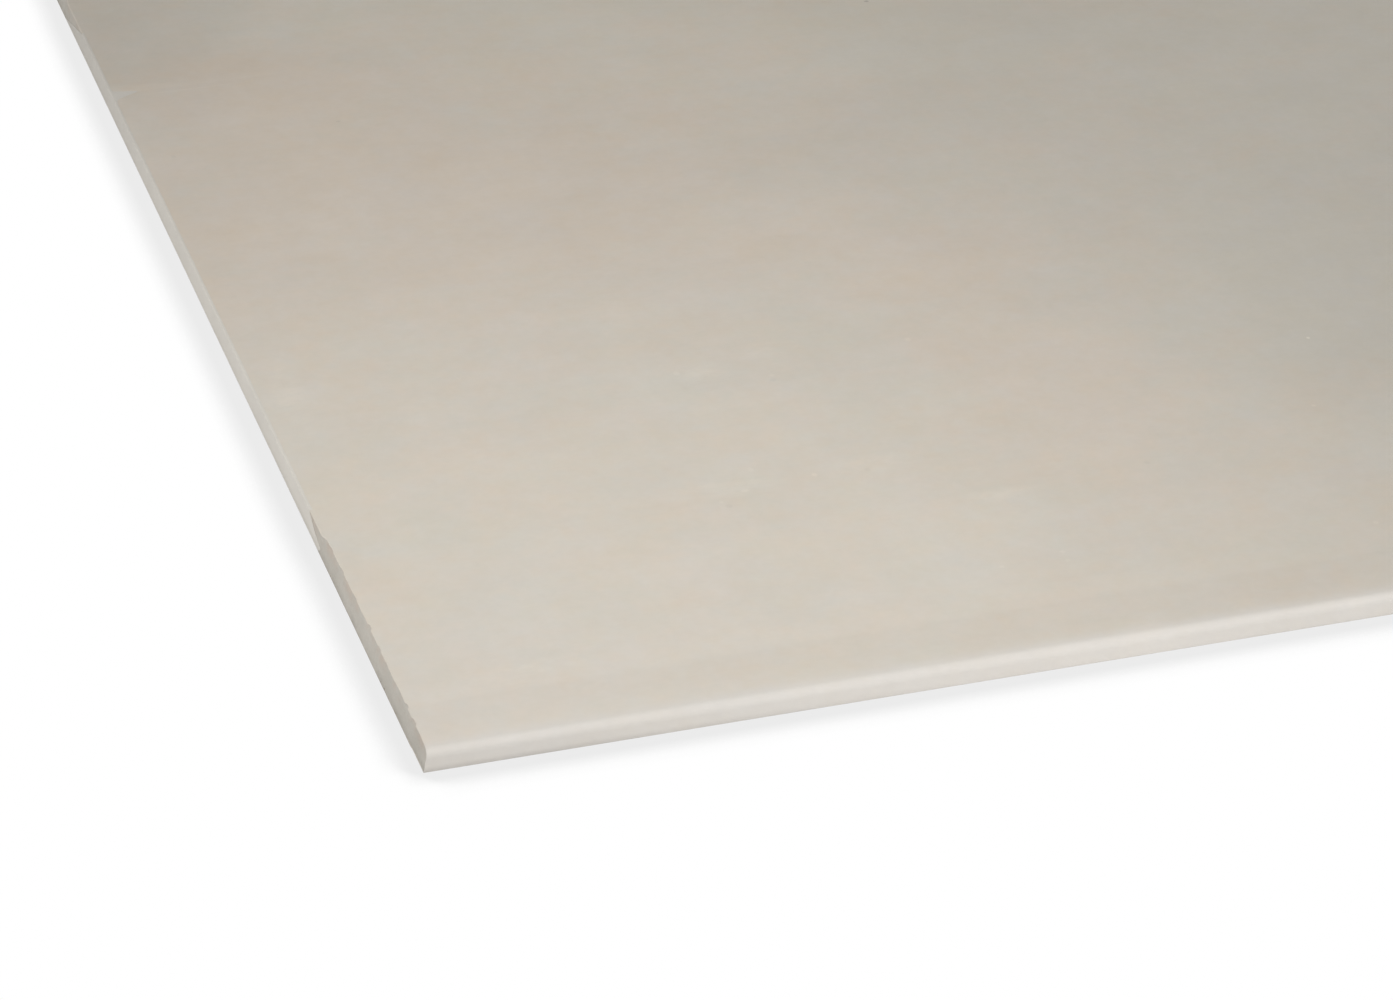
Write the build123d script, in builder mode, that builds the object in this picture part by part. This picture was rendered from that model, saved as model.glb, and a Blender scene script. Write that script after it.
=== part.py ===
"""Drywall sheet: one gypsum board with tapered long edges, and the paper tape left on one cut end.

Frame: origin at the centre of the back face, on which the sheet lies. +X runs along the long edges,
+Y across the sheet and +Z out of the finished face. Millimetres.
"""

import os

from build123d import *

# The board: a half-inch, four by eight foot sheet.
board_length = 2438.4
board_width = 1219.2
board_thickness = 12.7

# The tapered long edge, set in from the edge: a short ramp, a shallower seat for the joint tape, and a
# roll where the paper starts to turn down. Depths are measured from the face.
taper_width = 38.1
ramp_width = 15.0
ramp_depth = 0.6
roll_width = 10.0
seat_depth = 0.65
taper_depth = 1.4
shoulder_radius = 160.0
toe_radius = 220.0
roll_radius = 90.0

# The face paper is folded round the long edge and turned under the back paper.
edge_face_radius = 4.3
edge_back_radius = 0.8
return_width = 23.0
back_paper = 0.35

# The strip of tape still glued to the left-hand end, measured from the near long edge. Its near end is
# torn to a blunt tip part way up, and runs back from there to the foot and to the head of the strip.
tape_tip = 198.0
tape_stop = 882.0
tape_thickness = 0.2
tape_foot = 0.4
tape_head = 0.3
tip_height = 7.5
tear_below = 13.0
tear_above = 28.0
tear_stop = 50.0

half_length = board_length / 2
half_width = board_width / 2

# Half of the board's section, drawn on the YZ plane from the middle of the face to the middle of the back.
face_middle = (0, board_thickness)
shoulder = (half_width - taper_width, board_thickness)
ramp_toe = (half_width - taper_width + ramp_width, board_thickness - ramp_depth)
roll_start = (half_width - roll_width, board_thickness - seat_depth)
face_corner = (half_width, board_thickness - taper_depth)
back_corner = (half_width, back_paper)
return_end = (half_width - return_width, back_paper)
return_foot = (half_width - return_width, 0)
back_middle = (0, 0)

with BuildPart() as gypsum_board:
    with BuildSketch(Plane.YZ.offset(-half_length)):
        with BuildLine():
            # The face paper in one run: face, shoulder, ramp, seat, roll, round the edge and under the back.
            FilletPolyline(
                face_middle,
                shoulder,
                ramp_toe,
                roll_start,
                face_corner,
                back_corner,
                return_end,
                radius=[shoulder_radius, toe_radius, roll_radius, edge_face_radius, edge_back_radius],
            )
            # The back paper stops short of the edge, and its own thickness is the step.
            Polyline(return_end, return_foot, back_middle, face_middle)
        make_face()
        mirror(about=Plane.YZ)
    extrude(amount=board_length)
gypsum_board.part.label = "gypsum_board"

# The tape's outline on the end of the board, from one torn end to the other.
tip = tape_tip - half_width
stop = tape_stop - half_width
head = board_thickness - tape_head

with BuildPart() as end_tape:
    with BuildSketch(Plane.YZ.offset(-half_length)):
        with BuildLine():
            Polyline(
                (tip + tear_below, tape_foot),
                (tip, tip_height),
                (tip + tear_above, head),
                (stop - tear_stop, head),
                (stop, tape_foot),
                close=True,
            )
        make_face()
    extrude(amount=-tape_thickness)
end_tape.part.label = "end_tape"

os.makedirs("parts", exist_ok=True)
export_step(gypsum_board.part, "parts/gypsum_board.step")
export_step(end_tape.part, "parts/end_tape.step")
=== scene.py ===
"""A gypsum wallboard lying on its back: face paper, cast core, back paper and the tape left on one cut end.

The papers and the core stand for the one solid of the board, so that its cut ends show how it is made.
"""

import math

import bmesh
import bpy
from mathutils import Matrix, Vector, noise


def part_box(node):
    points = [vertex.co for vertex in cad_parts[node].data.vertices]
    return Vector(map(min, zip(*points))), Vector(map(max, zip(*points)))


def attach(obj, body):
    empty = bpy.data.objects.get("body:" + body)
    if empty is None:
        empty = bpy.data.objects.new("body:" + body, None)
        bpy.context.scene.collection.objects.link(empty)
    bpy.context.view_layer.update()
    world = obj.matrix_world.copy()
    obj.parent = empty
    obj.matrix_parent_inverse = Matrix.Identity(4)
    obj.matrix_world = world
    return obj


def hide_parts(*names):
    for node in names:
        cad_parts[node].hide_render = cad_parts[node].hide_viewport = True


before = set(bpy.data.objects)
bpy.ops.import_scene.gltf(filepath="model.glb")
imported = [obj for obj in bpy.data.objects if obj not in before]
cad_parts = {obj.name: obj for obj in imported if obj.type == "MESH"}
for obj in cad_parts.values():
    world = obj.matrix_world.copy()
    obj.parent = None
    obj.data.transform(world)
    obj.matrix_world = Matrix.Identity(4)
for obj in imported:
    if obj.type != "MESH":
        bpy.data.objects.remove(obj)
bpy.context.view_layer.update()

# Face paper: one web of ivory paperboard, laid face down on the forming line. It covers the face, dips into
# the taper along each long edge, folds round the edge and turns under as a return that the back paper laps.
MM = 0.001
board_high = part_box("gypsum_board")[1]
HALF_LENGTH = board_high.x
HALF_WIDTH = board_high.y
THICKNESS = board_high.z
PAPER = 0.35 * MM
TAPER_WIDTH = 38.1 * MM
RAMP_WIDTH = 15 * MM
RAMP_DEPTH = 0.6 * MM
ROLL_WIDTH = 10 * MM
SEAT_DEPTH = 0.65 * MM
TAPER_DEPTH = 1.4 * MM
SHOULDER_RADIUS = 160 * MM
TOE_RADIUS = 220 * MM
ROLL_RADIUS = 90 * MM
FACE_ROUND = 4.3 * MM
BACK_ROUND = 0.8 * MM
RETURN_SEEN = 23 * MM
RETURN_LAPPED = 6 * MM

# The core reaches into the paper by a hair, so that no gap shows between them.
TUCK = 0.04 * MM

# A wire is bent to the section and cut into steps of about a millimetre. The web is drawn from it in rows,
# which are close together near the cut ends.
ACROSS_STEP = 1.0 * MM
ARC_STEPS = 8
END_ROWS = [row * MM for row in (0.15, 0.35, 0.6, 0.9, 1.3, 1.9, 2.8, 4.2, 6.5, 9, 12, 16, 21)]
MIDDLE_ROWS = 8
SHARP_FROM = math.radians(40)

# The cut leans, so that its foot stands out furthest, and it wavers, less so where the tape holds it. It is
# eased into the straight web over a short way. The paper's head is worn round, fully so under the tape.
LEAN_BARE = 2.1 * MM
LEAN_TAPED = 0.75 * MM
LEAN_FAR_END = 0.7 * MM
FOOT_INSET = 0.16 * MM
LEAST_INSET = 0.02 * MM
WAVER = 0.14 * MM
WAVER_LENGTH = 14 * MM
WAVER_HEIGHT = 30 * MM
WAVER_LIFT = 0.5
WAVER_AT_FOOT = 0.3
HELD_BY_TAPE = 0.75
EASE = 12 * MM
WORN_ROUND = 0.8 * MM
WORN_BARE = 0.35

# Chips are where the paper is broken away at the head of the cut, each as (from the near long edge, half
# width, depth) in millimetres. A chip starts at a share of the board's height and deepens from there.
CHIPS = [
    (25.3, 4.0, 0.7), (38.6, 3.0, 0.8), (76, 3.5, 0.25), (90.7, 3.0, 0.35), (110.7, 3.6, 0.85),
    (139.5, 5.0, 0.3), (165.3, 4.0, 0.4), (186, 4.0, 0.3),
]
CHIP_SLOPE = 1.5
CHIP_START = 0.45
CHIP_DEEPENS = 0.5

# The tape on the left end runs from its tip to its stop, laps the face and presses the face paper in. Its
# torn head still has one pointed scrap, which laps further.
TAPE_TIP = 203 * MM
TAPE_STOP = 882 * MM
TAPE_BLEND = 9 * MM
LAP = 0.5 * MM
LAP_TEAR = 0.22 * MM
LAP_TEAR_LENGTH = 5 * MM
SCRAP_TIP = 735 * MM
SCRAP_NEAR_SLOPE = 16 * MM
SCRAP_FAR_SLOPE = 5 * MM
SCRAP_REACH = 15 * MM
SCRAP_POINT = 2.5
PRESSED = 0.2 * MM
PRESSED_EDGE = 3.5 * MM

# How rough a line is: how soon its detail fades, how much finer each layer is than the last, and how many
# layers. The plain numbers in a noise's place only pick a slice of it, so that no two lines are alike.
WAVER_DETAIL = (0.7, 2.1, 4)
TEAR_DETAIL = (0.7, 2.0, 4)


def ease(value):
    """Rises smoothly from 0 to 1 as value does."""
    value = min(max(value, 0.0), 1.0)
    return value * value * (3 - 2 * value)


def taped(y, side):
    """1 where tape covers the cut, 0 where the cut is bare."""
    if side > 0:
        return 0.0
    from_edge = y + HALF_WIDTH
    return ease((from_edge - TAPE_TIP) / TAPE_BLEND + 1) * ease((TAPE_STOP - from_edge) / TAPE_BLEND)


def tape_lap(from_edge):
    """How far the tape's torn top edge reaches onto the face, past the worn arris."""
    tear = noise.fractal(Vector((from_edge / LAP_TEAR_LENGTH, 2.0, 0)), *TEAR_DETAIL)
    off = from_edge - SCRAP_TIP
    off = off / SCRAP_FAR_SLOPE if off > 0 else -off / SCRAP_NEAR_SLOPE
    return LAP + LAP_TEAR * tear + SCRAP_REACH * ease(1 - off) ** SCRAP_POINT


def pressed_in(y, from_end):
    """How deep the tape has pressed the face paper in, at a place near the left end."""
    rim = WORN_ROUND + tape_lap(y + HALF_WIDTH)
    return PRESSED * (1 - ease((from_end - rim) / PRESSED_EDGE))


def lean(y, side):
    """How far the head of the cut stands in from its foot."""
    if side > 0:
        return LEAN_FAR_END
    cover = taped(y, side)
    return LEAN_BARE * (1 - cover) + LEAN_TAPED * cover


def cut_inset(y, z, side):
    """How far the cut stands in from the board's full length, at a place on the end."""
    rise = min(max(z / THICKNESS, 0.0), 1.0)
    waver = noise.fractal(Vector((side * 5.0, y / WAVER_LENGTH, z / WAVER_HEIGHT)), *WAVER_DETAIL)
    loose = 1 - HELD_BY_TAPE * taped(y, side)
    inset = FOOT_INSET + lean(y, side) * rise
    inset += WAVER * loose * (waver + WAVER_LIFT) * (WAVER_AT_FOOT + rise)
    if side < 0:
        from_edge = y + HALF_WIDTH
        for place, half_width, depth in CHIPS:
            off = (from_edge - place * MM) / (half_width * MM)
            broken = ease(CHIP_SLOPE - CHIP_SLOPE * abs(off)) * ease((rise - CHIP_START) / CHIP_DEEPENS)
            inset += depth * MM * broken
    return max(inset, LEAST_INSET)


def bend_web(section):
    """A wire bent along the paper's section, with its corners rounded and its runs cut into short steps."""
    web = bmesh.new()
    corners = [web.verts.new((-HALF_LENGTH, y, z)) for y, z, radius in section]
    for first, second in zip(corners, corners[1:]):
        web.edges.new((first, second))
    for before, (y, z, radius), after, corner in zip(section, section[1:], section[2:], corners[1:]):
        here = Vector((y, z))
        turn = (here - Vector(before[:2])).angle(Vector(after[:2]) - here)
        bmesh.ops.bevel(
            web, geom=[corner], offset=radius * math.tan(turn / 2), offset_type="OFFSET",
            segments=ARC_STEPS, profile=0.5, material=-1, affect="VERTICES",
        )
    for edge in web.edges[:]:
        cuts = int(edge.calc_length() / ACROSS_STEP)
        if cuts:
            bmesh.ops.subdivide_edges(web, edges=[edge], cuts=cuts)
    return web


def underside(web):
    """Heights of the core under the bent paper, at places across the board."""
    line = {}
    middle = Vector((-HALF_LENGTH, 0, THICKNESS / 2))
    for vert in web.verts:
        if vert.co.z < THICKNESS / 2 or len(vert.link_edges) < 2:
            continue
        before, after = (edge.other_vert(vert).co for edge in vert.link_edges)
        along = (after - before).normalized()
        inward = Vector((0, along.z, -along.y))
        if inward.dot(middle - vert.co) < 0:
            inward.negate()
        under = vert.co + inward * (PAPER - TUCK)
        place = round(under.y, 6)
        line[place] = max(line.get(place, 0.0), under.z)
    return line


def run_web(web):
    """Draws the bent wire out to the board's length, with close rows at both cut ends."""
    middle = 2 * (HALF_LENGTH - END_ROWS[-1]) / MIDDLE_ROWS
    steps = [high - low for low, high in zip([0.0] + END_ROWS, END_ROWS)]
    edge_loop = web.edges[:]
    for step in steps + [middle] * MIDDLE_ROWS + steps[::-1]:
        drawn = bmesh.ops.extrude_edge_only(web, edges=edge_loop)["geom"]
        row = {item for item in drawn if isinstance(item, bmesh.types.BMVert)}
        edge_loop = [
            item for item in drawn
            if isinstance(item, bmesh.types.BMEdge) and item.verts[0] in row and item.verts[1] in row
        ]
        bmesh.ops.translate(web, verts=list(row), vec=(step, 0, 0))


def trim_ends(web):
    """Draws a web's ends in to the line of the cut, wears its arris round and presses it under the tape."""
    for vert in web.verts:
        side = 1 if vert.co.x > 0 else -1
        from_end = HALF_LENGTH - abs(vert.co.x)
        if from_end > END_ROWS[-1]:
            continue
        inset = cut_inset(vert.co.y, vert.co.z, side)
        cover = taped(vert.co.y, side)
        if vert.co.z > THICKNESS / 2:
            inside = max(WORN_ROUND - from_end, 0.0)
            worn = WORN_ROUND - math.sqrt(WORN_ROUND**2 - inside**2)
            vert.co.z -= worn * (WORN_BARE + (1 - WORN_BARE) * cover)
            if cover:
                vert.co.z -= cover * pressed_in(vert.co.y, from_end)
        vert.co.x -= side * inset * (1 - ease(from_end / EASE))


def give_body(web, outward, thickness):
    """Turns all of a web's faces to the side that shows, and thickens it inward."""
    bmesh.ops.recalc_face_normals(web, faces=web.faces[:])
    outermost = max(web.faces, key=lambda face: face.calc_center_median().dot(outward))
    if outermost.normal.dot(outward) < 0:
        bmesh.ops.reverse_faces(web, faces=web.faces[:])
    bmesh.ops.solidify(web, geom=web.faces[:], thickness=thickness)


def finish_piece(name, mesh_work, material, node):
    """Makes one piece's finished object, dresses it, hangs it on the root body and hides the solid of the
    frame it stands for.
    """
    mesh = bpy.data.meshes.new(name)
    mesh_work.to_mesh(mesh)
    mesh_work.free()
    mesh.materials.append(material)
    mesh.shade_smooth()
    mesh.set_sharp_from_angle(angle=SHARP_FROM)
    piece = bpy.data.objects.new(name, mesh)
    bpy.context.collection.objects.link(piece)
    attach(piece, "root")
    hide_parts(node)


def linear(code):
    """An sRGB hex colour as linear RGBA."""
    parts = [int(code[i : i + 2], 16) / 255 for i in (0, 2, 4)]
    return [c / 12.92 if c <= 0.04045 else ((c + 0.055) / 1.055) ** 2.4 for c in parts] + [1.0]


def add(tree, kind, inputs=None, **settings):
    """Adds one shader node with its settings. An input is a value, or the output of another node."""
    made = tree.nodes.new("ShaderNode" + kind)
    for name, value in settings.items():
        setattr(made, name, value)
    for name, value in (inputs or {}).items():
        socket = made.inputs[name]
        if isinstance(value, bpy.types.NodeSocket):
            tree.links.new(value, socket)
        else:
            socket.default_value = value
    return made


def start_material(name):
    """An empty node material, its tree and its Object coordinates."""
    material = bpy.data.materials.new(name)
    material.use_nodes = True
    tree = material.node_tree
    tree.nodes.clear()
    place = add(tree, "TexCoord").outputs["Object"]
    return material, tree, place


def matt_surface(tree, colour, relief, strength, depth, roughness, ior):
    """Ends a material: a matt surface in a colour, with a relief as many millimetres deep."""
    bump = add(tree, "Bump", {"Height": relief, "Strength": strength, "Distance": depth * MM})
    shader = add(
        tree, "BsdfPrincipled",
        {"Base Color": colour, "Roughness": roughness, "IOR": ior, "Normal": bump.outputs["Normal"]},
    )
    add(tree, "OutputMaterial", {"Surface": shader.outputs["BSDF"]})


def per_size(size_mm):
    """The Noise scale at which the pattern's grain is about this many millimetres."""
    return 1 / (size_mm * MM)


def sum_of(tree, values):
    """Adds up sockets and numbers."""
    total = values[0]
    for value in values[1:]:
        total = add(tree, "Math", {0: total, 1: value}, operation="ADD").outputs[0]
    return total


def toned(tree, tone, *shares):
    """A tone, as strong as all of its shares together."""
    strength = shares[0]
    for factor in (*shares[1:], tone):
        strength = add(tree, "Math", {0: strength, 1: factor}, operation="MULTIPLY").outputs[0]
    return strength


def fade(tree, distance, empty, full):
    """Turns a distance into a share that is 0 at its empty end and 1 at its full end, in millimetres."""
    return add(
        tree, "MapRange", {"Value": distance, "From Min": empty * MM, "From Max": full * MM},
        interpolation_type="SMOOTHSTEP",
    ).outputs["Result"]


def from_long_edge(tree, place):
    """The distance in from the nearer long edge."""
    across = add(tree, "SeparateXYZ", {"Vector": place}).outputs["Y"]
    out = add(tree, "Math", {0: across}, operation="ABSOLUTE").outputs[0]
    return add(tree, "Math", {0: HALF_WIDTH, 1: out}, operation="SUBTRACT").outputs[0]


def from_cut_end(tree, place):
    """The distance along the board from its left cut end."""
    return sum_of(tree, [add(tree, "SeparateXYZ", {"Vector": place}).outputs["X"], HALF_LENGTH])


# How much of a spot's size is at full strength before it fades out, and how far off the face it reaches.
FIRM_SPOT = 0.35
SOFT_SPOT = 0.1
SPOT_HEIGHT = 4 * MM


def spot(tree, place, from_end, from_edge, half_length, half_width, full_share):
    """1 inside an oval on the face and 0 outside it. Its places and sizes are in millimetres."""
    centre = (-HALF_LENGTH + from_end * MM, -HALF_WIDTH + from_edge * MM, THICKNESS)
    off = add(tree, "VectorMath", {0: place, 1: centre}, operation="SUBTRACT").outputs["Vector"]
    reach = (1 / (half_length * MM), 1 / (half_width * MM), 1 / SPOT_HEIGHT)
    scaled = add(tree, "VectorMath", {0: off, 1: reach}, operation="MULTIPLY").outputs["Vector"]
    away = add(tree, "VectorMath", {0: scaled}, operation="LENGTH").outputs["Value"]
    return add(
        tree, "MapRange",
        {"Value": away, "From Min": full_share, "From Max": 1.0, "To Min": 1.0, "To Max": 0.0},
        interpolation_type="SMOOTHSTEP",
    ).outputs["Result"]


def spot_tones(tree, place, spots, full_share=SOFT_SPOT):
    """The tones of several spots, each given as its oval and its tone."""
    return [toned(tree, tone, spot(tree, place, *oval, full_share)) for *oval, tone in spots]


def beyond(tree, place, from_end, from_edge, heading, width):
    """0 on the near side of a line across the face and 1 past it, where its heading points."""
    start = (-HALF_LENGTH + from_end * MM, -HALF_WIDTH + from_edge * MM, 0)
    off = add(tree, "VectorMath", {0: place, 1: start}, operation="SUBTRACT").outputs["Vector"]
    way = (math.cos(math.radians(heading)), math.sin(math.radians(heading)), 0)
    passed = add(tree, "VectorMath", {0: off, 1: way}, operation="DOT_PRODUCT").outputs["Value"]
    return fade(tree, passed, 0, width)


# Ivory, from pinker to greener, and a paler, greyer ivory along the long edges. The tint swings about
# a little to the green side of the middle.
PINKER_IVORY = "D6CBBD"
GREENER_IVORY = "D2CCC0"
EDGE_IVORY = "D2CDC6"
EDGE_IVORY_WIDTH = 12
TINT_SWING = 2.3
TINT_LEAN = 0.1

# The grain of each pattern in the paper, in millimetres across the web. Streaks and fibres are drawn out
# along it. Fibres are finer than a pixel, so they are drawn about 2 by 5 mm to show at all.
STREAK_GRAIN = 18
STREAK_SQUEEZE = 0.03
CLOUD_GRAIN = 90
MOTTLE_GRAIN = 50
FIBRE_GRAIN = 2.2
FIBRE_SQUEEZE = 0.45
CHAFE_GRAIN = 9
SHOULDER_GRAIN = 70
DRIFT_GRAIN = 260
TINT_GRAIN = 50
YELLOW_GRAIN = 40

# Spots on the face, as (from the cut end, from the near long edge, half length, half width) in millimetres.
# Rubs are patches that are chafed a shade lighter. Flecks are small marks and shades are broad patches,
# each with a tone. Tints lean to green, or to pink where they are negative, and richness is how much
# stronger the ivory is.
RUBS = [
    (224, 307, 22, 13), (265, 320, 28, 15), (202, 187, 40, 12), (280, 190, 34, 12), (325, 142, 30, 9),
    (64, 54, 45, 9), (17, 345, 15, 55),
]
FLECKS = [
    (459.4, 734.3, 2.1, 1.7, -0.26), (117, 659.7, 1.9, 1.3, -0.08), (256.5, 288.5, 2.4, 2.0, -0.045),
    (196, 170.5, 2.6, 2.6, -0.05), (193.5, 175, 1.8, 1.8, 0.04), (208, 182.7, 3.0, 2.0, 0.05),
    (535.8, 251.5, 1.3, 1.6, 0.20), (508.6, 182.2, 1.7, 1.7, 0.07), (1.9, 177, 1.4, 13, 0.035),
    (44, 728.5, 42, 1.3, 0.025), (245.4, 188, 1.8, 2.6, 0.06), (489, 63.5, 2.0, 2.4, 0.05),
    (334.6, 81.5, 2.0, 1.8, 0.05), (334, 73, 1.8, 1.8, 0.035), (257.5, 293.5, 2.0, 2.0, 0.045),
    (217, 202, 2.2, 3.0, 0.04), (337, 310.7, 2.0, 3.0, 0.045), (211.6, 309.7, 2.4, 3.0, 0.045),
    (302, 76.6, 2.0, 2.0, 0.04), (406, 151.6, 2.0, 3.0, -0.035), (272, 185, 2.2, 2.6, -0.035),
    (18.3, 641, 2.0, 3.0, -0.04),
]
# The darkest shades, at the far left corner, are painted shade where the light falls off there.
SHADES = [
    (640, 370, 260, 260, -0.037), (310, 730, 170, 190, 0.037), (-20, 610, 120, 270, -0.04),
    (-10, 870, 170, 230, -0.12), (565, 230, 130, 110, -0.045), (400, 670, 100, 90, 0.03),
    (285, 100, 80, 70, 0.028), (90, 735, 90, 80, -0.035), (300, 450, 100, 90, 0.02),
]
TINTS = [
    (130, 540, 330, 250, -0.75), (400, 270, 95, 190, -0.45), (900, 520, 480, 420, 0.55),
    (330, 870, 260, 190, 0.45), (560, 310, 150, 180, 0.7), (460, 680, 120, 90, 0.45),
    (70, 725, 110, 80, -0.8), (370, 410, 120, 100, -0.55), (90, 275, 120, 80, -0.35),
]
RICHNESS = [(380, 780, 560, 240, 0.1), (60, 40, 170, 90, -0.09)]
RUB_TONE = 0.06

# The far corner is a shade duller past two lines, the nearer one crisp. Each line is given by a point on it,
# as for the spots, the heading across it in degrees, and the width it fades over.
DULL_CORNER_FRONT = (0, 745, 80, 3)
DULL_CORNER_SIDE = (60, 737, 144, 35)
DULL_CORNER_TONE = -0.03

# The taper's tones: darker on the ramp, which is painted shade, patchy and lighter on the shoulder, and
# lighter on the edge, which is a painted highlight. Each is a tone, then where it starts, is full, is full
# still and is gone, in millimetres from the long edge. The edge's painted highlight grows from nothing near
# the corner to full further along, between two places along the board.
RAMP_PAINTED_SHADE = (-0.028, 14, 27, 35, 40)
SHOULDER_TONE = (0.016, 38, 43, 50, 64)
EDGE_PAINTED_HIGHLIGHT = (0.045, -2, -1, 3.5, 9)
EDGE_HIGHLIGHT_GROWS = (30, 330)

# The folded side's painted shade, near the corner and further along, and its foot's painted shade, where
# it meets the floor. Each is a tone, then where it starts and where it is full, in millimetres from the cut
# end. Heights and depth start and are full likewise.
SIDE_PAINTED_SHADES = [(-0.06, 210, 20), (-0.02, 110, 190), (-0.05, 330, 460)]
SIDE_HEIGHTS = (10.5, 8.5)
FOOT_PAINTED_SHADES = [(-0.13, 330, 0), (-0.03, 380, 500)]
FOOT_PAINTED_SHADE_ALL_ALONG = -0.015
FOOT_PAINTED_SHADE_HEIGHTS = (4.2, 1.0)
SIDE_DEPTH = (4, 1)


def band(tree, inward, tone, start, full, still, gone):
    """A band of tone along the long edges."""
    return toned(tree, tone, fade(tree, inward, start, full), fade(tree, inward, gone, still))


def taper_tone(tree, place):
    """The tone across a taper: painted shade on the ramp, patchy on the shoulder, and a painted highlight on
    the edge that grows away from the corner.
    """
    inward = from_long_edge(tree, place)
    patchy = add(
        tree, "TexNoise",
        {"Vector": place, "Scale": per_size(SHOULDER_GRAIN), "Detail": 3, "Roughness": 0.6},
    )
    strength = add(
        tree, "MapRange", {"Value": patchy.outputs["Fac"], "From Min": 0.3, "From Max": 0.6, "To Min": 0.3},
    ).outputs["Result"]
    # The edge's painted highlight grows away from the corner, and the ramp's darker tone is painted shade.
    highlight_grows = fade(tree, from_cut_end(tree, place), *EDGE_HIGHLIGHT_GROWS)
    return sum_of(tree, [
        band(tree, inward, *RAMP_PAINTED_SHADE),
        toned(tree, band(tree, inward, *SHOULDER_TONE), strength),
        toned(tree, band(tree, inward, *EDGE_PAINTED_HIGHLIGHT), highlight_grows),
    ])


def side_tone(tree, place):
    """The folded side's painted shade: darker near the corner and further along, and at its foot by the
    floor.
    """
    height = add(tree, "SeparateXYZ", {"Vector": place}).outputs["Z"]
    outer = fade(tree, from_long_edge(tree, place), *SIDE_DEPTH)
    along = from_cut_end(tree, place)
    # The side's darker tones and its foot's are painted shade.
    side_shades = [toned(tree, tone, fade(tree, along, start, full)) for tone, start, full in SIDE_PAINTED_SHADES]
    foot_shades = [toned(tree, tone, fade(tree, along, start, full)) for tone, start, full in FOOT_PAINTED_SHADES]
    foot_shades.append(FOOT_PAINTED_SHADE_ALL_ALONG)
    side = toned(tree, sum_of(tree, side_shades), fade(tree, height, *SIDE_HEIGHTS))
    foot = toned(tree, sum_of(tree, foot_shades), fade(tree, height, *FOOT_PAINTED_SHADE_HEIGHTS))
    return toned(tree, sum_of(tree, [side, foot]), outer)


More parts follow.
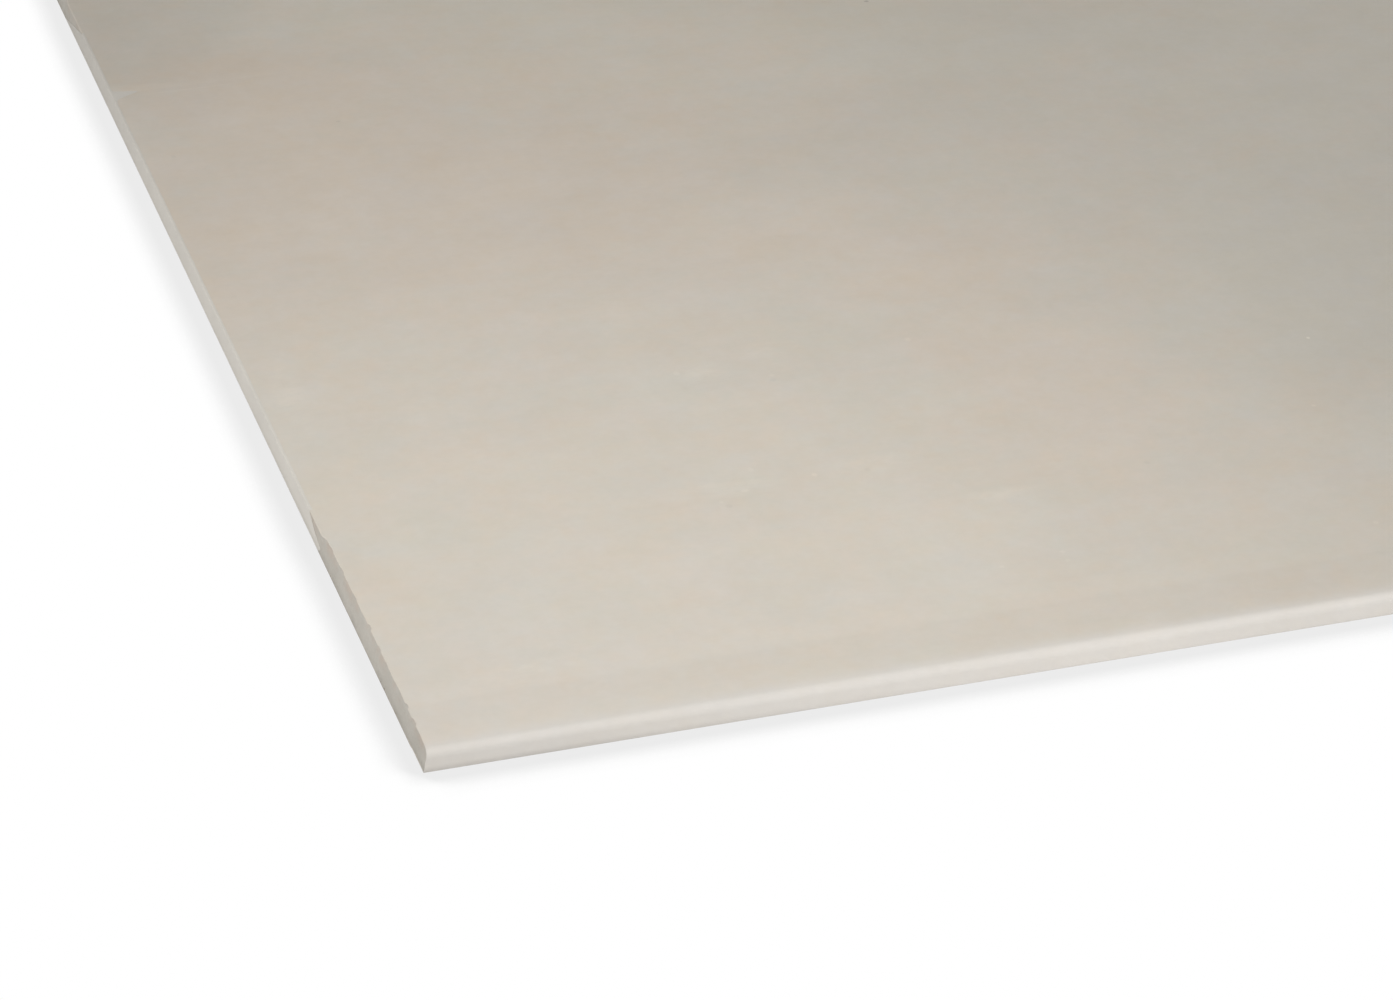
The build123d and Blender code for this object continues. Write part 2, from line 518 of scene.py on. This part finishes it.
def face_paper_material():
    """Calendered ivory paperboard: matt with a faint sheen, fine fibre, faint streaks along the web."""
    material, tree, place = start_material("calendered_ivory_paperboard")

    # Streaks run with the web, along the board. Clouds and mottling are the uneven lay of the fibre.
    stretched = add(tree, "Mapping", {"Vector": place, "Scale": (STREAK_SQUEEZE, 1, 1)}).outputs["Vector"]
    streaks = add(
        tree, "TexNoise",
        {"Vector": stretched, "Scale": per_size(STREAK_GRAIN), "Detail": 4, "Roughness": 0.6},
    )
    clouds = add(
        tree, "TexNoise", {"Vector": place, "Scale": per_size(CLOUD_GRAIN), "Detail": 3, "Roughness": 0.6},
    )
    mottling = add(
        tree, "TexNoise", {"Vector": place, "Scale": per_size(MOTTLE_GRAIN), "Detail": 4, "Roughness": 0.9},
    )
    fibre_place = add(tree, "Mapping", {"Vector": place, "Scale": (FIBRE_SQUEEZE, 1, 1)}).outputs["Vector"]
    fibres = add(
        tree, "TexNoise",
        {"Vector": fibre_place, "Scale": per_size(FIBRE_GRAIN), "Detail": 3, "Roughness": 0.7},
    )
    tones = [1.0]
    for layer, strength in ((streaks, 0.025), (clouds, 0.04), (mottling, 0.13), (fibres, 0.035)):
        tones.append(add(
            tree, "MapRange",
            {"Value": layer.outputs["Fac"], "To Min": -strength / 2, "To Max": strength / 2},
        ).outputs["Result"])

    # Wear, marks and painted light: the taper's tones, with painted shade on its ramp and a painted
    # highlight on its edge, the folded side's painted shade, the rubs, where only the high fibres are
    # chafed, the flecks and shades, and the duller far corner past two lines.
    tones += [taper_tone(tree, place), side_tone(tree, place)]
    rubbed = sum_of(tree, [spot(tree, place, *rub, SOFT_SPOT) for rub in RUBS])
    grain = add(
        tree, "TexNoise",
        {"Vector": fibre_place, "Scale": per_size(CHAFE_GRAIN), "Detail": 4, "Roughness": 0.65},
    )
    chafed = add(
        tree, "MapRange", {"Value": grain.outputs["Fac"], "From Min": 0.38, "From Max": 0.66},
    ).outputs["Result"]
    tones.append(toned(tree, RUB_TONE, rubbed, chafed))
    tones += spot_tones(tree, place, FLECKS, FIRM_SPOT)
    tones += spot_tones(tree, place, SHADES)
    past_front = beyond(tree, place, *DULL_CORNER_FRONT)
    past_side = beyond(tree, place, *DULL_CORNER_SIDE)
    tones.append(toned(tree, DULL_CORNER_TONE, past_front, past_side))

    # Ivory drifts from pinker to greener over two or three hands' breadths, and again from one thumb's
    # breadth to the next. It is paler and greyer along its long edges, and it is yellower in patches.
    drift = add(
        tree, "TexNoise", {"Vector": place, "Scale": per_size(DRIFT_GRAIN), "Detail": 3, "Roughness": 0.5},
    )
    elsewhere = add(tree, "Mapping", {"Vector": place, "Location": (3, 5, 0)}).outputs["Vector"]
    tinted = add(
        tree, "TexNoise",
        {"Vector": elsewhere, "Scale": per_size(TINT_GRAIN), "Detail": 3, "Roughness": 0.9},
    )
    swing = toned(tree, TINT_SWING, sum_of(tree, [tinted.outputs["Fac"], -0.5]))
    greener = [drift.outputs["Fac"], swing, TINT_LEAN] + spot_tones(tree, place, TINTS)
    mix = add(
        tree, "Mix",
        {"Factor": sum_of(tree, greener), "A": linear(PINKER_IVORY), "B": linear(GREENER_IVORY)},
        data_type="RGBA",
    )
    edge = fade(tree, from_long_edge(tree, place), EDGE_IVORY_WIDTH, 0)
    paler = add(
        tree, "Mix", {"Factor": edge, "A": mix.outputs["Result"], "B": linear(EDGE_IVORY)},
        data_type="RGBA",
    )
    elsewhere = add(tree, "Mapping", {"Vector": place, "Location": (7, 2, 0)}).outputs["Vector"]
    yellowed = add(
        tree, "TexNoise",
        {"Vector": elsewhere, "Scale": per_size(YELLOW_GRAIN), "Detail": 3, "Roughness": 0.9},
    )
    richness = [add(
        tree, "MapRange", {"Value": yellowed.outputs["Fac"], "To Min": 0.65, "To Max": 1.35},
    ).outputs["Result"]]
    richness += spot_tones(tree, place, RICHNESS)
    colour = add(
        tree, "HueSaturation",
        {
            "Color": paler.outputs["Result"], "Saturation": sum_of(tree, richness),
            "Value": sum_of(tree, tones),
        },
    ).outputs["Color"]
    matt_surface(tree, colour, fibres.outputs["Fac"], strength=0.25, depth=0.05, roughness=0.68, ior=1.45)
    return material


right_half = [
    (HALF_WIDTH - RETURN_SEEN - RETURN_LAPPED, PAPER, 0),
    (HALF_WIDTH, PAPER, BACK_ROUND),
    (HALF_WIDTH, THICKNESS - TAPER_DEPTH, FACE_ROUND),
    (HALF_WIDTH - ROLL_WIDTH, THICKNESS - SEAT_DEPTH, ROLL_RADIUS),
    (HALF_WIDTH - TAPER_WIDTH + RAMP_WIDTH, THICKNESS - RAMP_DEPTH, TOE_RADIUS),
    (HALF_WIDTH - TAPER_WIDTH, THICKNESS, SHOULDER_RADIUS),
]
left_half = [(-y, z, radius) for y, z, radius in right_half]
face_web = bend_web(left_half + right_half[::-1])
core_line = underside(face_web)
run_web(face_web)
trim_ends(face_web)
give_body(face_web, Vector((0, 0, 1)), PAPER)
finish_piece("face_paper", face_web, face_paper_material(), "gypsum_board")

# Gypsum core: set gypsum, foamed as it was cast between the two papers, so a cut shows a chalky face with
# small round voids. It is sawn across at both ends, and bare but for the tape on the left one.
CORE_ROWS = 16
CRUMBLE_BARE = 0.45 * MM
CRUMBLE_TAPED = 0.65 * MM
CRUMBLE_HEIGHT = 1.6 * MM
VOID_SPACING = 2.6 * MM
VOID_RADIUS = 0.75 * MM
VOID_DEPTH = 0.55
SAW_GRAIN = 0.1 * MM
SAW_GRAIN_SIZE = 2.1 * MM
SAW_GRAIN_DETAIL = (0.6, 2.2, 3)
SAW_GRAIN_LIFT = 0.2

# Its colours, and those of the torn paper's fibres at its head. The patterns' grain is in millimetres, and
# so are the heights and the reach, as where they start and are full.
DULL_GYPSUM = "B8B3A9"
PALE_GYPSUM = "C4BFB6"
TORN_FIBRE = "BFB4A8"
GRIT_GRAIN = 1.4
PATCH_GRAIN = 22
SOIL_GRAIN = 12
FRAY_HEIGHTS = (5, 11)
CORNER_REACH = (110, 0)
CORNER_TONE = -0.09
# The darker foot is painted shade, where the core meets the floor.
FOOT_HEIGHTS = (5.0, 1.5)
FOOT_TONE = -0.09


def core_floor(y):
    """Height of the core's underside, over the back paper or over the face paper's rounded return."""
    from_edge = HALF_WIDTH - abs(y)
    inside = max(BACK_ROUND - from_edge, 0.0)
    rounded = BACK_ROUND - math.sqrt(BACK_ROUND**2 - inside**2)
    over_return = from_edge < RETURN_SEEN + RETURN_LAPPED
    return PAPER + (PAPER if over_return else 0) + rounded - TUCK


def core_face(y, z, side):
    """How far the sawn face stands in: the line of the cut, its crumbled head, grain and open voids."""
    inset = cut_inset(y, z, side)
    under_paper = THICKNESS - PAPER - z
    cover = taped(y, side)
    crumble = CRUMBLE_BARE * (1 - cover) + CRUMBLE_TAPED * cover
    inset += crumble * (1 - ease(under_paper / CRUMBLE_HEIGHT))
    grain = noise.fractal(
        Vector((side * 3.0, y / SAW_GRAIN_SIZE, z / SAW_GRAIN_SIZE)), *SAW_GRAIN_DETAIL,
    )
    inset += SAW_GRAIN * max(grain + SAW_GRAIN_LIFT, 0.0)
    nearest = noise.voronoi(Vector((side * 9.0, y / VOID_SPACING, z / VOID_SPACING)))[0][0] * VOID_SPACING
    if nearest < VOID_RADIUS:
        inset += VOID_DEPTH * math.sqrt(VOID_RADIUS**2 - nearest**2)
    return inset


def mottled(tree, layers, spread, darker, paler):
    """A colour that wanders between two as layers of noise do. The wider their spread, the softer it is."""
    blend = sum_of(tree, [layer.outputs["Fac"] for layer in layers])
    factor = add(
        tree, "MapRange", {"Value": blend, "From Min": 1 - spread, "From Max": 1 + spread},
    ).outputs["Result"]
    mix = add(tree, "Mix", {"Factor": factor, "A": linear(darker), "B": linear(paler)}, data_type="RGBA")
    return mix.outputs["Result"]


def gypsum_material():
    """Set gypsum: chalk-dull, off-white with a grey cast, dusty and finely pitted where it was sawn."""
    material, tree, place = start_material("cast_gypsum")
    grit = add(
        tree, "TexNoise", {"Vector": place, "Scale": per_size(GRIT_GRAIN), "Detail": 4, "Roughness": 0.7},
    )
    patches = add(
        tree, "TexNoise", {"Vector": place, "Scale": per_size(PATCH_GRAIN), "Detail": 3, "Roughness": 0.5},
    )
    gypsum = mottled(tree, [grit, patches], 0.3, DULL_GYPSUM, PALE_GYPSUM)

    # Brown fibres of the torn paper hang over its head here and there. It is darker near the long edges, and
    # its darker foot is painted shade where it meets the floor.
    height = add(tree, "SeparateXYZ", {"Vector": place}).outputs["Z"]
    soil = add(
        tree, "TexNoise", {"Vector": place, "Scale": per_size(SOIL_GRAIN), "Detail": 3, "Roughness": 0.6},
    )
    uneven = add(
        tree, "MapRange", {"Value": soil.outputs["Fac"], "From Min": 0.4, "From Max": 0.6},
    ).outputs["Result"]
    torn = toned(tree, uneven, fade(tree, height, *FRAY_HEIGHTS))
    frayed = add(tree, "Mix", {"Factor": torn, "A": gypsum, "B": linear(TORN_FIBRE)}, data_type="RGBA")
    darker_edges_and_foot = sum_of(tree, [
        1.0,
        toned(tree, CORNER_TONE, fade(tree, from_long_edge(tree, place), *CORNER_REACH)),
        toned(tree, FOOT_TONE, fade(tree, height, *FOOT_HEIGHTS), sum_of(tree, [uneven, 0.5])),
    ])
    colour = add(
        tree, "HueSaturation", {"Color": frayed.outputs["Result"], "Value": darker_edges_and_foot},
    ).outputs["Color"]
    matt_surface(tree, colour, grit.outputs["Fac"], strength=0.5, depth=0.15, roughness=0.95, ior=1.5)
    return material


# The core is drawn from a grid on its left end, with a column under each step of the bent paper.
columns = sorted(core_line.items())
core = bmesh.new()
bmesh.ops.create_grid(core, x_segments=len(columns) - 1, y_segments=CORE_ROWS, size=0.5)
for vert in core.verts:
    y, high = columns[round((vert.co.x + 0.5) * (len(columns) - 1))]
    low = core_floor(y)
    vert.co = (-HALF_LENGTH, y, low + (high - low) * (vert.co.y + 0.5))
drawn = bmesh.ops.extrude_face_region(core, geom=core.faces[:])["geom"]
far_end = [item for item in drawn if isinstance(item, bmesh.types.BMVert)]
bmesh.ops.translate(core, verts=far_end, vec=(2 * HALF_LENGTH, 0, 0))
for vert in core.verts:
    side = 1 if vert.co.x > 0 else -1
    vert.co.x -= side * core_face(vert.co.y, vert.co.z, side)
bmesh.ops.recalc_face_normals(core, faces=core.faces[:])
finish_piece("gypsum_core", core, gypsum_material(), "gypsum_board")

# Back paper: a plain grey liner of recycled fibre. It is laid last, over the core and the returns of the
# face paper, and stops short of the long edges. The board lies on it.
BACK_HALF = HALF_WIDTH - RETURN_SEEN
DARK_LINER = "978F82"
PALE_LINER = "B1A99B"
LINER_FIBRE_GRAIN = 1.8
LINER_FIBRE_SQUEEZE = 0.35
LINER_CLOUD_GRAIN = 60


def back_paper_material():
    """Uncoated recycled liner: dull warm grey, cloudy, with darker and paler fibres in it."""
    material, tree, place = start_material("recycled_grey_liner")
    stretched = add(
        tree, "Mapping", {"Vector": place, "Scale": (LINER_FIBRE_SQUEEZE, 1, 1)},
    ).outputs["Vector"]
    fibres = add(
        tree, "TexNoise",
        {"Vector": stretched, "Scale": per_size(LINER_FIBRE_GRAIN), "Detail": 4, "Roughness": 0.75},
    )
    clouds = add(
        tree, "TexNoise",
        {"Vector": place, "Scale": per_size(LINER_CLOUD_GRAIN), "Detail": 5, "Roughness": 0.65},
    )
    colour = mottled(tree, [fibres, clouds], 0.35, DARK_LINER, PALE_LINER)
    matt_surface(tree, colour, fibres.outputs["Fac"], strength=0.3, depth=0.06, roughness=0.85, ior=1.45)
    return material


back_web = bend_web([(-BACK_HALF, 0, 0), (BACK_HALF, 0, 0)])
run_web(back_web)
trim_ends(back_web)
give_body(back_web, Vector((0, 0, -1)), PAPER)
finish_piece("back_paper", back_web, back_paper_material(), "gypsum_board")

# End tape: what is left of the paper strip that was glued over the cut end. It comes up the cut and just
# over the head of it, where it was torn off. Both its ends are torn, and one scrap laps onto the face.
TAPE_PAPER = 0.13 * MM
TAPE_FOOT = 0.4 * MM
TAPE_STEP = 1.0 * MM
TAPE_ROWS = 30
CLIMB_SHARE = 18 / TAPE_ROWS
TURN_SHARE = 23 / TAPE_ROWS

# The near end is torn to a tip low on the cut, and runs back from there to the foot, more and more, and to
# the head, less and less. The far end runs back as it rises.
TIP_HEIGHT = 4.2 * MM
TEAR_BELOW = 5 * MM
TEAR_ABOVE = 25 * MM
TEAR_STOP = 60 * MM
CURVE_BELOW = 1.5
CURVE_ABOVE = 0.6
TEAR_HEIGHT = 2 * MM
NEAR_TEAR = 1.2 * MM
FAR_TEAR = 1.5 * MM

# It stands off the cut by its own thickness, more where it is creased, and sinks into the pressed face
# paper over the last share of the climb.
CREASE_LENGTH = 35 * MM
CREASE_HEIGHT = 9 * MM
CREASE_DETAIL = (0.8, 2.1, 3)
CREASE_STAND = 0.4
STAND_GONE = 1 * MM
SINK_START = 0.8
SINK_OVER = 0.2

# Its colours, grain and tones. Fades are in millimetres from the near long edge, heights from the floor.
DULL_TAPE = "D2CDC4"
PALE_TAPE = "D8D3CA"
TAPE_FIBRE_GRAIN = 1.6
TAPE_CLOUD_GRAIN = 28
# Painted shade: towards the far end, where the light falls off, and at the foot, where it meets the floor.
TAPE_FAR_PAINTED_SHADE = -0.125
TAPE_FAR_FADE = (560, 840)
TAPE_FOOT_PAINTED_SHADE = -0.04
TAPE_FOOT_HEIGHTS = (5.0, 1.5)
TAPE_TIP_PAINTED_SHADE = -0.07
TAPE_TIP_FADE = (420, 230)


def tape_height(share):
    """How high up the cut a row of the tape lies: share is 0 at the tape's foot and 1 at its torn head."""
    return TAPE_FOOT + (THICKNESS - WORN_ROUND - TAPE_FOOT) * min(share / CLIMB_SHARE, 1)


def tape_start_at(share):
    """How far from the near long edge the tape's torn near end is, at one of its rows."""
    height = tape_height(share)
    below = max(1 - height / TIP_HEIGHT, 0) ** CURVE_BELOW
    above = max((height - TIP_HEIGHT) / (THICKNESS - TIP_HEIGHT), 0) ** CURVE_ABOVE
    tear = noise.noise(Vector((height / TEAR_HEIGHT, 4.0, 0)))
    return TAPE_TIP + TEAR_BELOW * below + TEAR_ABOVE * above + NEAR_TEAR * tear


def tape_stop_at(share):
    """The same for its far end."""
    height = tape_height(share)
    tear = noise.noise(Vector((height / TEAR_HEIGHT, 11.0, 0)))
    return TAPE_STOP - TEAR_STOP * height / THICKNESS + FAR_TEAR * tear


def tape_place(from_edge, share):
    """A place on the tape: up the cut, round the worn arris and onto the face."""
    y = from_edge - HALF_WIDTH
    angle = math.pi / 2 * min(max((share - CLIMB_SHARE) / (TURN_SHARE - CLIMB_SHARE), 0), 1)
    lapped = tape_lap(from_edge) * max((share - TURN_SHARE) / (1 - TURN_SHARE), 0)
    x = WORN_ROUND * (1 - math.cos(angle)) + lapped
    z = tape_height(share) + WORN_ROUND * math.sin(angle)
    inset = cut_inset(y, z, -1) * (1 - ease(x / EASE))
    crease = noise.fractal(Vector((from_edge / CREASE_LENGTH, z / CREASE_HEIGHT, 6.0)), *CREASE_DETAIL)
    stand = TAPE_PAPER * (1 + CREASE_STAND * max(crease, 0)) * (1 - ease(x / STAND_GONE))
    sunk = (pressed_in(y, x) - TAPE_PAPER / 2) * ease((z / THICKNESS - SINK_START) / SINK_OVER)
    return Vector((-HALF_LENGTH + inset + x - stand, y, z - sunk))


def tape_material():
    """Plain paper tape, uncoated and off-white, a little crumpled where it was torn away."""
    material, tree, place = start_material("off_white_paper_tape")
    fibres = add(
        tree, "TexNoise",
        {"Vector": place, "Scale": per_size(TAPE_FIBRE_GRAIN), "Detail": 4, "Roughness": 0.7},
    )
    clouds = add(
        tree, "TexNoise",
        {"Vector": place, "Scale": per_size(TAPE_CLOUD_GRAIN), "Detail": 3, "Roughness": 0.55},
    )
    tape_colour = mottled(tree, [fibres, clouds], 0.3, DULL_TAPE, PALE_TAPE)

    # It is darker towards its far end, which is painted shade where the light falls off, and at its foot,
    # most of all under its tip, which is painted shade where it meets the floor.
    parts = add(tree, "SeparateXYZ", {"Vector": place})
    from_edge = sum_of(tree, [parts.outputs["Y"], HALF_WIDTH])
    at_foot = fade(tree, parts.outputs["Z"], *TAPE_FOOT_HEIGHTS)
    painted_shading = sum_of(tree, [
        1.0,
        toned(tree, TAPE_FAR_PAINTED_SHADE, fade(tree, from_edge, *TAPE_FAR_FADE)),
        toned(tree, TAPE_FOOT_PAINTED_SHADE, at_foot),
        toned(tree, TAPE_TIP_PAINTED_SHADE, at_foot, fade(tree, from_edge, *TAPE_TIP_FADE)),
    ])
    colour = add(tree, "HueSaturation", {"Color": tape_colour, "Value": painted_shading}).outputs["Color"]
    matt_surface(tree, colour, clouds.outputs["Fac"], strength=0.4, depth=0.4, roughness=0.7, ior=1.45)
    return material


tape = bmesh.new()
tape_columns = int((TAPE_STOP - TAPE_TIP) / TAPE_STEP)
bmesh.ops.create_grid(tape, x_segments=tape_columns, y_segments=TAPE_ROWS, size=0.5)
for vert in tape.verts:
    share = vert.co.y + 0.5
    first, last = tape_start_at(share), tape_stop_at(share)
    vert.co = tape_place(first + (last - first) * (vert.co.x + 0.5), share)
give_body(tape, Vector((-1, 0, 0)), TAPE_PAPER)
finish_piece("end_tape_strip", tape, tape_material(), "end_tape")

# Studio: a plain pale floor, a soft world, a soft lamp over the near corner and two broad cards, one in
# front of the long edge and one high on the left.
WHITE = (1, 1, 1, 1)
FLOOR_GREY = (0.8, 0.8, 0.8, 1)
FLOOR_HALF = 12.0
FLOOR_DROP = 0.1 * MM
ROOM_LIGHT = 0.44

# The shade where the board meets the floor is soft, and gone about 20 mm out. Its closed and open ends are
# how much of the sky over the floor is free there.
SHADE_REACH = 24 * MM
SHADE_CLOSED = 0.839
SHADE_OPEN = 0.95
SHADE_TONE = 0.83
CONTACT_GAP = 0.8 * MM

floor_mesh = bmesh.new()
bmesh.ops.create_grid(floor_mesh, x_segments=1, y_segments=1, size=FLOOR_HALF)
bmesh.ops.translate(floor_mesh, verts=floor_mesh.verts[:], vec=(0, 0, -FLOOR_DROP))
floor_data = bpy.data.meshes.new("studio_floor")
floor_mesh.to_mesh(floor_data)
floor_mesh.free()
studio_floor = bpy.data.objects.new("studio_floor", floor_data)
bpy.context.collection.objects.link(studio_floor)

floor_material = bpy.data.materials.new("matt_white_sweep")
floor_material.use_nodes = True
tree = floor_material.node_tree
tree.nodes.clear()
rays = add(tree, "LightPath")
seen = add(
    tree, "Math", {0: rays.outputs["Is Camera Ray"], 1: rays.outputs["Is Glossy Ray"]}, operation="MAXIMUM",
)
seen = add(
    tree, "Math", {0: seen.outputs[0], 1: rays.outputs["Is Transmission Ray"]}, operation="MAXIMUM",
)
openness = add(tree, "AmbientOcclusion", {"Distance": SHADE_REACH}, samples=16)
brightness = add(
    tree, "MapRange",
    {
        "Value": openness.outputs["AO"], "From Min": SHADE_CLOSED, "From Max": SHADE_OPEN,
        "To Min": SHADE_TONE, "To Max": 1.0,
    },
    interpolation_type="SMOOTHSTEP",
)
white = add(tree, "Emission", {"Color": WHITE, "Strength": brightness.outputs["Result"]})
matt = add(tree, "BsdfDiffuse", {"Color": FLOOR_GREY})
above = add(tree, "MixShader", {0: seen.outputs[0], 1: matt.outputs[0], 2: white.outputs[0]})
# From below the floor isn't there, nor is it for light that reaches the board's underside through it.
below = add(tree, "BsdfTransparent")
under = add(tree, "NewGeometry")
touching = add(tree, "Math", {0: rays.outputs["Ray Length"], 1: CONTACT_GAP}, operation="LESS_THAN")
gone = add(tree, "Math", {0: under.outputs["Backfacing"], 1: touching.outputs[0]}, operation="MAXIMUM")
both = add(tree, "MixShader", {0: gone.outputs[0], 1: above.outputs[0], 2: below.outputs[0]})
add(tree, "OutputMaterial", {"Surface": both.outputs[0]})
floor_data.materials.append(floor_material)

world = bpy.data.worlds.new("soft_room")
bpy.context.scene.world = world
world.use_nodes = True
tree = world.node_tree
tree.nodes.clear()
rays = add(tree, "LightPath")
room = add(tree, "Background", {"Color": WHITE, "Strength": ROOM_LIGHT})
seen_room = add(tree, "Background", {"Color": WHITE, "Strength": 1.0})
either = add(
    tree, "MixShader", {0: rays.outputs["Is Camera Ray"], 1: room.outputs[0], 2: seen_room.outputs[0]},
)
add(tree, "OutputWorld", {"Surface": either.outputs[0]})

near_corner = Vector((-HALF_LENGTH, -HALF_WIDTH, 0))


def softbox(name, place, target, size, watts):
    """A square soft lamp, aimed at a point. Both places are measured from the near left corner."""
    lamp = bpy.data.lights.new(name, "AREA")
    lamp.shape = "SQUARE"
    lamp.size = size
    lamp.energy = watts
    holder = bpy.data.objects.new(name, lamp)
    bpy.context.collection.objects.link(holder)
    holder.location = near_corner + Vector(place)
    aim = Vector(target) - Vector(place)
    holder.rotation_euler = aim.to_track_quat("-Z", "Y").to_euler()
    holder.visible_camera = False


softbox("overhead_softbox", place=(0.17, 0.10, 0.40), target=(0.15, 0.10, 0), size=0.5, watts=0.52)
softbox("front_card", place=(1.07, -1.55, 0.30), target=(0.40, 0.0, 0.0), size=0.8, watts=17.9)
softbox("left_card", place=(-1.68, -0.20, 1.60), target=(0.0, 0.50, 0.0), size=0.8, watts=23.7)

# Camera: looks down on the near left corner from in front of it. Its place is measured from that corner.
CAMERA_PLACE = Vector((-0.3978, -1.7074, 1.1233))
CAMERA_AZIMUTH = math.radians(-17.089)
CAMERA_ELEVATION = math.radians(29.346)
PICTURE_WIDTH = 1393
FOCAL_PIXELS = 4664.6
SENSOR_WIDTH = 36.0
NEAREST_SEEN = 0.05
FURTHEST_SEEN = 60

camera_data = bpy.data.cameras.new("photo_camera")
camera_data.sensor_width = SENSOR_WIDTH
camera_data.lens = FOCAL_PIXELS / PICTURE_WIDTH * SENSOR_WIDTH
camera_data.clip_start = NEAREST_SEEN
camera_data.clip_end = FURTHEST_SEEN
camera = bpy.data.objects.new("photo_camera", camera_data)
bpy.context.collection.objects.link(camera)
camera.location = near_corner + CAMERA_PLACE
sight = Vector((
    -math.sin(CAMERA_AZIMUTH) * math.cos(CAMERA_ELEVATION),
    math.cos(CAMERA_AZIMUTH) * math.cos(CAMERA_ELEVATION),
    -math.sin(CAMERA_ELEVATION),
))
camera.rotation_euler = sight.to_track_quat("-Z", "Y").to_euler()
bpy.context.scene.camera = camera
bpy.context.scene.view_settings.view_transform = "Standard"
